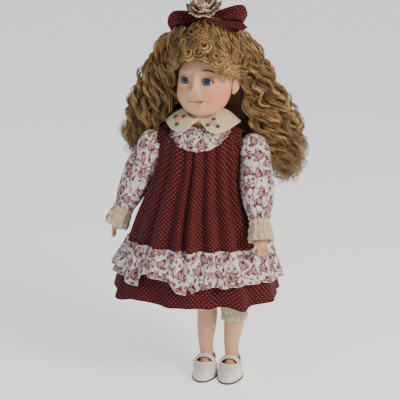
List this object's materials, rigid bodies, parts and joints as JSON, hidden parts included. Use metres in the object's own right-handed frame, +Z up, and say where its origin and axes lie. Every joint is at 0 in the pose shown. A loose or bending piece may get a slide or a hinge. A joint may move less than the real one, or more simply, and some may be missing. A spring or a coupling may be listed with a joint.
{
  "type": "porcelain doll",
  "caption": "Standing collectible doll with a bisque head, hands and feet, a cloth body, long golden curls, a rose-print blouse and a dotted burgundy pinafore.",
  "frame": {"origin": "on the floor under the middle of the right shoe's sole", "axes": "+Z up, -Y the way the doll faces, +X towards the doll's left hand"},
  "size_m": [0.2213, 0.156, 0.4368],
  "materials": {
    "bisque": "matte",
    "eye_glass": "gloss",
    "plaster": "matte",
    "calico": "matte",
    "golden_hair": "satin",
    "wig_net": "matte",
    "pate_board": "matte",
    "cream_satin": "satin",
    "rose_print": "matte",
    "dotted_burgundy": "matte",
    "cream_lace": "matte",
    "embroidery": "satin",
    "cord_thread": "matte",
    "steel_wire": "satin",
    "turned_wood": "matte",
    "white_vinyl": "satin",
    "sole_rubber": "matte",
    "pearl_button": "gloss"
  },
  "bodies": {
    "torso": {"torso_cloth": "calico", "shoulder_plate": "bisque", "shoulder_wire": "steel_wire", "hip_wire": "steel_wire", "neck_spring": "steel_wire", "neck_washer": "steel_wire", "blouse": "rose_print", "collar_left": "cream_satin", "collar_right": "cream_satin", "collar_roses": "embroidery", "pinafore": "dotted_burgundy", "pinafore_ruffle": "rose_print", "underskirt": "dotted_burgundy", "back_snaps": "steel_wire"},
    "head": {"head_shell": "bisque", "eye_left": "eye_glass", "eye_right": "eye_glass", "eye_plaster": "plaster", "crown_pate": "pate_board", "neck_button": "turned_wood", "neck_bolt": "steel_wire", "wig_cap": "wig_net", "hair_crown": "golden_hair", "hair_bangs": "golden_hair", "hair_fall_left": "golden_hair", "hair_fall_right": "golden_hair", "hair_fall_back": "golden_hair", "bow_loop_left": "dotted_burgundy", "bow_loop_right": "dotted_burgundy", "bow_tails": "dotted_burgundy", "bow_knot": "dotted_burgundy", "bow_rosette": "rose_print"},
    "arm_left": {"upper_arm_left": "calico", "forearm_left": "bisque", "arm_wire_left": "steel_wire", "arm_tie_left": "cord_thread", "sleeve_left": "rose_print", "cuff_left": "cream_lace"},
    "arm_right": {"upper_arm_right": "calico", "forearm_right": "bisque", "arm_wire_right": "steel_wire", "arm_tie_right": "cord_thread", "sleeve_right": "rose_print", "cuff_right": "cream_lace"},
    "leg_left": {"thigh_left": "calico", "shin_left": "bisque", "leg_tie_left": "cord_thread", "pantaloon_left": "cream_lace", "shoe_upper_left": "white_vinyl", "shoe_sole_left": "sole_rubber", "shoe_strap_left": "white_vinyl", "shoe_button_left": "pearl_button"},
    "leg_right": {"thigh_right": "calico", "shin_right": "bisque", "leg_tie_right": "cord_thread", "pantaloon_right": "cream_lace", "shoe_upper_right": "white_vinyl", "shoe_sole_right": "sole_rubber", "shoe_strap_right": "white_vinyl", "shoe_button_right": "pearl_button"}
  },
  "joints": [
    {"name": "neck_swivel", "type": "hinge", "parent": "torso", "child": "head", "pos_m": [-0.003, 0, 0.298], "axis": [0, 0, 1], "range_deg": [-35, 45], "deforming": ["hair_fall_left", "hair_fall_right", "hair_fall_back"]},
    {"name": "shoulder_right", "type": "hinge", "parent": "torso", "child": "arm_right", "pos_m": [-0.06, 0, 0.27], "axis": [-1, 0, 0], "range_deg": [-10, 95]},
    {"name": "shoulder_left", "type": "hinge", "parent": "torso", "child": "arm_left", "pos_m": [0.054, 0, 0.27], "axis": [-1, 0, 0], "range_deg": [-35, 65]},
    {"name": "hip_right", "type": "hinge", "parent": "torso", "child": "leg_right", "pos_m": [-0.019, 0, 0.188], "axis": [-1, 0, 0], "range_deg": [0, 85], "deforming": ["pinafore", "pinafore_ruffle", "underskirt"]},
    {"name": "hip_left", "type": "hinge", "parent": "torso", "child": "leg_left", "pos_m": [0.019, 0, 0.188], "axis": [-1, 0, 0], "range_deg": [0, 85]}
  ],
  "couplings": [
    {"joint": "hip_left", "follows": "hip_right", "ratio": 1}
  ]
}
